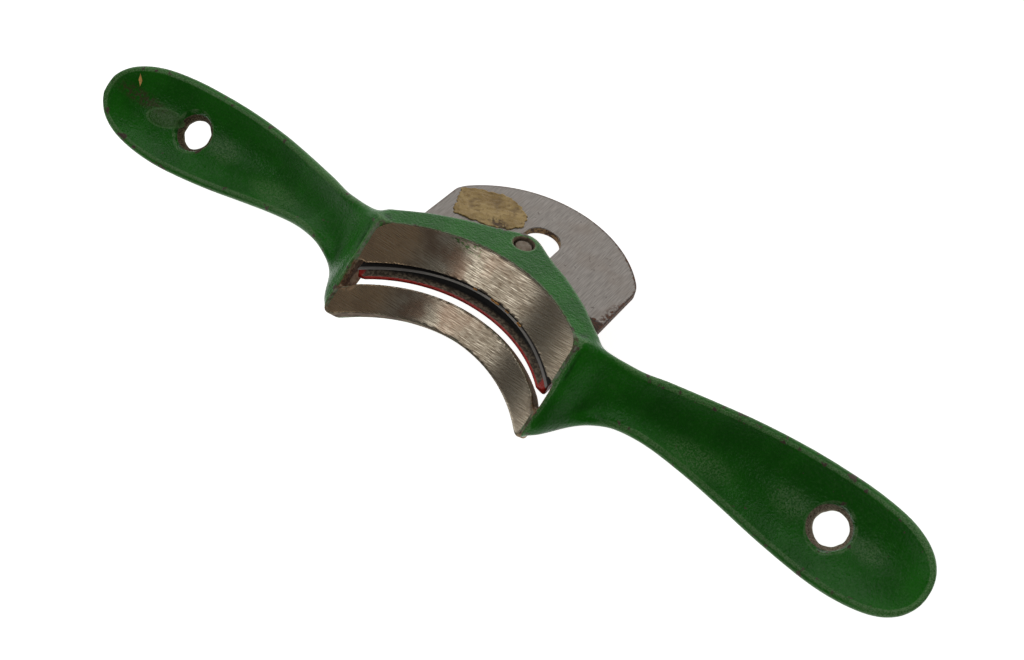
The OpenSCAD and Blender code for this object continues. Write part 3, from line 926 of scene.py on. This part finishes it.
def enamelled_casting():
    sh = Shader("green_enamel_casting")
    cloud, peel, fine = sh.noise(0.45, 4), sh.noise(1.75, 2.5), sh.noise(3.2, 2)
    from_sole = sh.minus(sh.distance(sh.x, sh.minus(sh.z, AXIS_HEIGHT)), HOLLOW_RADIUS)
    below_sole = sh.ramp(from_sole, 0.06, 0.2)
    from_bed_face = sh.math("ABSOLUTE", sh.out)
    on_lip = sh.times(sh.ramp(from_bed_face, 1.2, 0.8), sh.ramp(sh.width, 27.5, 26.8), sh.ramp(
        from_sole, 0.5, 0.2))
    steel = ground_area(sh, from_sole, on_lip)
    lines, steel_colour = ground_steel(sh)
    smear = sh.times(sh.near((-10.2, 19.5, -9.5), (5.6, 2.6, 4), 0.4), sh.ramp(
        sh.noise(1.3, 4), 0.55, 0.6, 0, 0.8))

    # bare walls: the screw hole, the bed's face, the toe's two edges and the mouth's two ends
    hole = hole_wall(sh)
    screw_rim = sh.ramp(sh.distance(sh.x, sh.minus(sh.up, SCREW_STATION)), 2.95, 2.8)
    bed_face = sh.times(
        sh.ramp(from_bed_face, 0.3, 0.15), sh.minus(1, on_lip), sh.ramp(sh.width, 28, 27.7), below_sole)
    toe_wall = sh.times(below_sole, sh.ramp(from_arc(sh, REAR_CENTRE, REAR_RADIUS), 0.6, 0.35))
    toe_wall = sh.times(toe_wall, sh.ramp(sh.width, 27.9, 27.5))
    toe_edge = sh.times(sh.ramp(from_arc(sh, FRONT_CENTRE, FRONT_RADIUS), 0.7, 0.5), below_sole)
    toe_edge = sh.times(toe_edge, sh.ramp(sh.width, 28.2, 27.6), sh.ramp(
        sh.scaled(cloud, 3.4, from_sole), 6.8, 6))
    cheek_wall = sh.times(
        sh.ramp(sh.gap(sh.width, MOUTH_HALF - 0.1), 0.75, 0.5), below_sole, sh.ramp(sh.out, 0.6, 0.2))
    bare = sh.largest(hole, screw_rim, bed_face, cheek_wall, toe_edge)
    ends = sh.largest(*(sh.near((side, -2.6, -1.2), (3, 4, 2.6), 0.35) for side in (28, -28)))
    ends = sh.times(ends, sh.ramp(sh.noise(0.7, 3), 0.38, 0.52), sh.ramp(sh.width, 28.9, 28.2))
    seam = sh.times(sh.ramp(from_sole, 0.5, 0.16), sh.minus(1, steel))
    seam = sh.times(seam, sh.ramp(sh.noise(1.1, 3), 0.36, 0.55, 0.1, 0.8))

    rust_colour = sh.mix(sh.ramp(fine, 0.3, 0.7), DARK_RUST, (0.22, 0.1, 0.04))
    dark_wall = sh.mix(sh.ramp(fine, 0.35, 0.6), (0.022, 0.014, 0.007), (0.13, 0.098, 0.05))
    light_wall = sh.mix(sh.ramp(fine, 0.35, 0.6), (0.085, 0.058, 0.034), (0.3, 0.25, 0.175))
    colour = sh.layers(
        green_enamel(sh, cloud, fine),
        (sh.times(steel, sh.minus(1, smear)), steel_colour),
        (sh.times(toe_wall, 0.85), rust_colour),
        (bare, sh.mix(sh.ramp(cloud, 0.35, 0.65), (0.085, 0.058, 0.038), (0.21, 0.155, 0.105))),
        (hole, sh.mix(sh.math("GREATER_THAN", sh.x, 0), dark_wall, light_wall)),
        (cheek_wall, sh.mix(sh.ramp(cloud, 0.38, 0.6), (0.15, 0.085, 0.045), (0.4, 0.3, 0.19))),
        (sh.times(ends, 0.9), rust_colour),
        (seam, sh.mix(sh.ramp(cloud, 0.42, 0.55), (0.09, 0.055, 0.04), (0.2, 0.21, 0.155))))
    colour = handle_marks(sh, colour, cloud)

    metal = sh.times(steel, sh.ramp(ends, 0.7, 0.2))
    rough = sh.blend(metal, sh.ramp(cloud, 0.3, 0.8, 0.17, 0.32), sh.ramp(lines, 0.3, 0.7, 0.34, 0.2))
    rough = sh.blend(sh.largest(bare, ends, toe_wall), rough, 0.85)
    bumpy = sh.plus(sh.plus(sh.times(peel, 0.8), sh.times(fine, 0.17)), sh.times(cloud, 0.75))
    relief = sh.blend(metal, sh.times(bumpy, 1.35), sh.times(lines, 0.06))
    sh.surface.inputs["Specular IOR Level"].default_value = 0.19
    return sh.finish(colour, rough, metal, relief, 0.16)


def iron_steel():
    sh = Shader("brushed_iron")
    lines = sh.streaks((1, 0, 0), UP_THE_BED, 4.5, 4)
    mottle = sh.noise(1.3, 4)
    steel = sh.layers(
        sh.mix(sh.ramp(lines, 0.32, 0.68), (0.2, 0.182, 0.166), (0.29, 0.266, 0.244)),
        (sh.ramp(sh.noise(0.14, 4), 0.45, 0.75, 0, 0.45), (0.215, 0.175, 0.145)),
        (sh.ramp(sh.noise(0.75, 3), 0.68, 0.72, 0, 0.6), (0.09, 0.075, 0.065)))

    # rust along the sides and the round top, and on the right side's lower end
    above = sh.minus(sh.up, IRON_TOP - IRON_TOP_RADIUS)
    past_top = sh.times(sh.ramp(above, 0, 8), sh.minus(sh.distance(sh.x, above), IRON_TOP_RADIUS))
    rim = sh.largest(sh.minus(sh.width, IRON_HALF), past_top)
    ragged = sh.plus(rim, sh.scaled(mottle, 1.6, -0.8))
    rust = sh.times(sh.ramp(ragged, -0.75, -0.15), sh.ramp(sh.x, -10, 20, 0.35, 1))
    corner = sh.near((26.8, *from_bed((0, 30, 0))[1:]), (1.6, 5, 5))
    rust = sh.largest(rust, sh.times(corner, sh.ramp(mottle, 0.4, 0.6)))
    wall = sh.times(sh.ramp(sh.out, -0.1, -0.2), sh.ramp(sh.out, -1.9, -1.8))
    slot_wall = sh.times(wall, sh.math("LESS_THAN", sh.width, 6), sh.ramp(sh.up, 18, 20))

    # the narrow honed edge, pale partly as a painted highlight, and the bevel behind it, painted near black
    # as shade
    squared = sh.minus(EDGE_RADIUS ** 2, sh.times(sh.x, sh.x))
    fall = sh.times(sh.minus(EDGE_RADIUS, sh.math("SQRT", squared)), 1 / math.sin(BEVEL))
    from_edge = sh.plus(sh.minus(sh.up, LIP_STATION + EDGE_RETREAT), fall)
    honed = sh.scaled(sh.width, 0.018, 0.17)
    on_bevel = sh.gap(sh.times(from_edge, math.tan(BEVEL)), sh.plus(sh.out, IRON_THICKNESS))
    # painted shade: the bevel behind the honed strip is near black
    painted_bevel_shade = sh.times(sh.ramp(sh.minus(from_edge, honed), 0, 0.12), sh.ramp(
        from_edge, 3.5, 3.4), sh.math("LESS_THAN", on_bevel, 0.1))

    colour = sh.layers(
        steel,
        (rust, sh.mix(sh.ramp(mottle, 0.4, 0.65), DARK_RUST, RUST)),
        (slot_wall, sh.mix(sh.ramp(mottle, 0.4, 0.6), (0.07, 0.04, 0.02), (0.32, 0.21, 0.09))),
        # pale honed strip: honed steel, partly a painted highlight, paler in the middle than at the ends
        (sh.ramp(from_edge, 1.2, 0.8), sh.mix(
            sh.ramp(sh.width, 8, 20), (0.6, 0.57, 0.53), (0.27, 0.255, 0.24))),
        (painted_bevel_shade, (0.012, 0.01, 0.009)))
    # rust, the slot wall and the bevel's painted shade, all less metallic and rougher
    darkened_areas = sh.largest(rust, slot_wall, painted_bevel_shade)
    metal = sh.ramp(darkened_areas, 0.6, 0.2, 0.15, 1)
    rough = sh.blend(darkened_areas, sh.ramp(lines, 0.3, 0.7, 0.42, 0.3), 0.75)
    relief = sh.plus(sh.times(lines, 0.2), sh.times(mottle, sh.scaled(darkened_areas, 0.7, 0.05)))
    return sh.finish(colour, rough, metal, relief, 0.12)


def red_enamel():
    sh = Shader("red_enamel_cap")
    cloud, peel, fine = sh.noise(0.4, 4), sh.noise(1.1, 2.5), sh.noise(3, 3)
    red = sh.mix(sh.ramp(cloud, 0.35, 0.7), (0.36, 0.012, 0.008), (0.5, 0.03, 0.018))
    red = sh.mix(sh.ramp(sh.noise(0.9, 3), 0.68, 0.71, 0, 0.9), red, (0.08, 0.035, 0.022))
    ragged = sh.scaled(fine, 0.3, -0.15)
    # the underside is bare casting skin, with a painted border along the nose and at its ends
    from_nose = sh.distance(sh.x, sh.minus(sh.up, NOSE_STATION - NOSE_RADIUS))
    behind = sh.plus(sh.minus(from_nose, NOSE_RADIUS), ragged)
    painted = sh.largest(sh.ramp(behind, 0.42, 0.3), sh.ramp(sh.gap(sh.x, -0.5), 24.9, 25.5))
    underside = sh.times(sh.ramp(sh.plus(sh.out, ragged), -3.3, -3.1), sh.minus(1, painted))
    cast_skin_and_shadow = sh.mix(sh.ramp(sh.noise(1.4, 5), 0.4, 0.62), (0.06, 0.043, 0.027), (0.21, 0.165, 0.115))
    # painted shadow: the skin goes near black further behind the nose, under the iron's edge
    cast_skin_and_shadow = sh.mix(sh.ramp(behind, 1.6, 2.6), cast_skin_and_shadow, (0.006, 0.005, 0.004))
    colour = sh.mix(underside, red, cast_skin_and_shadow)
    rough = sh.blend(underside, sh.ramp(cloud, 0.3, 0.8, 0.22, 0.4), 0.8)
    relief = sh.plus(sh.times(peel, 0.6), sh.times(fine, sh.scaled(underside, 0.8, 0.1)))
    return sh.finish(colour, rough, 0, relief, 0.16)


def screw_steel():
    sh = Shader("tarnished_screw")
    fine, cloud = sh.noise(3.5, 3), sh.noise(0.9, 4)
    colour = sh.layers(
        sh.mix(sh.ramp(cloud, 0.3, 0.7), (0.24, 0.19, 0.14), (0.46, 0.41, 0.34)),
        (sh.ramp(fine, 0.58, 0.7, 0, 0.7), (0.12, 0.08, 0.05)),
        (sh.ramp(sh.out, 4, 4.6, 0, 0.75), (0.1, 0.075, 0.055)))
    return sh.finish(colour, sh.ramp(fine, 0.3, 0.7, 0.28, 0.5), 0.9, fine, 0.05)


def old_paper():
    sh = Shader("glued_paper")
    large, mottle, fibre = sh.noise(0.22, 4), sh.noise(1, 4), sh.noise(3.2, 4)
    stain = sh.near(tuple(from_bed((-11.2, 37.9, 0.2))), (2.4, 1.4, 1.4))
    colour = sh.layers(
        sh.mix(sh.ramp(large, 0.35, 0.65), (0.3, 0.195, 0.066), (0.44, 0.305, 0.12)),
        (sh.ramp(mottle, 0.54, 0.68, 0, 0.7), (0.21, 0.135, 0.06)),
        (sh.ramp(fibre, 0.55, 0.7, 0, 0.35), (0.58, 0.48, 0.32)),
        (sh.times(stain, sh.ramp(mottle, 0.38, 0.55)), (0.055, 0.03, 0.012)),
        (sh.ramp(sh.out, 0.14, 0.03, 0, 0.6), (0.16, 0.1, 0.045)))
    sh.surface.inputs["Specular IOR Level"].default_value = 0.25
    return sh.finish(colour, sh.ramp(mottle, 0.3, 0.7, 0.4, 0.65), 0, sh.plus(mottle, fibre), 0.08)


def wood_dust():
    sh = Shader("wood_dust")
    fine = sh.noise(3, 3)
    colour = sh.mix(sh.ramp(fine, 0.35, 0.65), (0.3, 0.11, 0.025), (0.62, 0.33, 0.1))
    return sh.finish(colour, 0.85, 0, fine, 0.1)


# in the order of the first four pieces
materials = {
    "body_casting": enamelled_casting(),
    "cutting_iron": iron_steel(),
    "lever_cap": red_enamel(),
    "cap_screw": screw_steel(),
}
for node_name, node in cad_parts.items():
    node.data.materials.clear()
    node.data.materials.append(materials[node_name])
for piece, material in zip(pieces, (*materials.values(), old_paper(), wood_dust())):
    piece.data.materials.append(material)


# ---- camera, light and floor ----
CAMERA_AT = Vector((98.702, -1.918 - MIDDLE_Y, 291.502 + BASE_DROP)) * MM
CAMERA_TILT = (0.3257, -0.0220)
CAMERA_ROLL = 0.5582
SENSOR_WIDTH, FOCAL_LENGTH = 36.0, 47.2640625
LENS_SHIFT = (0.0580078125, -0.02724609375)


def add_camera():
    """Tilt is the sideways part of the direction back from the scene, and roll turns about it."""
    nx, ny = CAMERA_TILT
    back = Vector((nx, ny, math.sqrt(1 - nx * nx - ny * ny)))
    side = Vector((1, 0, 0))
    side = (side - back * side.dot(back)).normalized()
    right = side * math.cos(CAMERA_ROLL) + back.cross(side) * math.sin(CAMERA_ROLL)
    data = bpy.data.cameras.new("Camera")
    data.sensor_width = SENSOR_WIDTH
    data.lens = FOCAL_LENGTH
    data.clip_start = 0.01
    data.shift_x, data.shift_y = LENS_SHIFT
    camera = linked("Camera", data)
    camera.matrix_world = Matrix((right, back.cross(right), back)).transposed().to_4x4()
    camera.location = CAMERA_AT
    bpy.context.scene.camera = camera


def add_light(name, direction, distance, size, power):
    """A rectangular soft box that far out in a direction, turned towards the tool."""
    data = bpy.data.lights.new(name, "AREA")
    data.shape = "RECTANGLE"
    data.size, data.size_y = size
    data.energy = power
    light = linked(name, data)
    light.location = Vector(direction).normalized() * distance
    light.rotation_euler = (-light.location).to_track_quat("-Z", "Y").to_euler()


def add_world():
    """Pale all round at the horizon, darker overhead."""
    world = bpy.data.worlds.new("World")
    bpy.context.scene.world = world
    world.use_nodes = True
    tree = world.node_tree
    coordinates = tree.nodes.new("ShaderNodeTexCoord")
    split = tree.nodes.new("ShaderNodeSeparateXYZ")
    ramp = tree.nodes.new("ShaderNodeValToRGB")
    tree.links.new(coordinates.outputs["Generated"], split.inputs[0])
    tree.links.new(split.outputs["Z"], ramp.inputs[0])
    stops = ramp.color_ramp.elements
    stops[0].color, stops[1].color = (0.90, 0.90, 0.90, 1), (0.14, 0.14, 0.14, 1)
    for position, level in ((0.10, 0.80), (0.24, 0.32), (0.40, 0.14)):
        stop = stops.new(position)
        stop.color = (level, level * 0.99, level * 0.97, 1)
    background = tree.nodes["Background"]
    tree.links.new(ramp.outputs[0], background.inputs["Color"])
    background.inputs["Strength"].default_value = 1.0


def add_floor():
    mesh = bpy.data.meshes.new("Floor")
    mesh.from_pydata([(-4, -4, 0), (4, -4, 0), (4, 4, 0), (-4, 4, 0)], [], [(0, 1, 2, 3)])
    floor = linked("Floor", mesh)
    floor.location.z = -0.3 * MM
    sheet = Shader("pale_floor")
    sheet.cover({"Base Color": (0.8, 0.8, 0.8), "Roughness": 0.9})
    sheet.cover({"Emission Color": (1.0, 1.0, 1.0), "Emission Strength": 0.88})
    floor.data.materials.append(sheet.material)


add_camera()
add_light("key", (-0.37, 0.03, 0.93), distance=0.8, size=(0.30, 0.6), power=0.95)
add_light("back", (-0.25, 0.80, 0.55), distance=1.0, size=(0.8, 0.4), power=1.6)
add_world()
add_floor()
bpy.context.scene.view_settings.view_transform = "Standard"
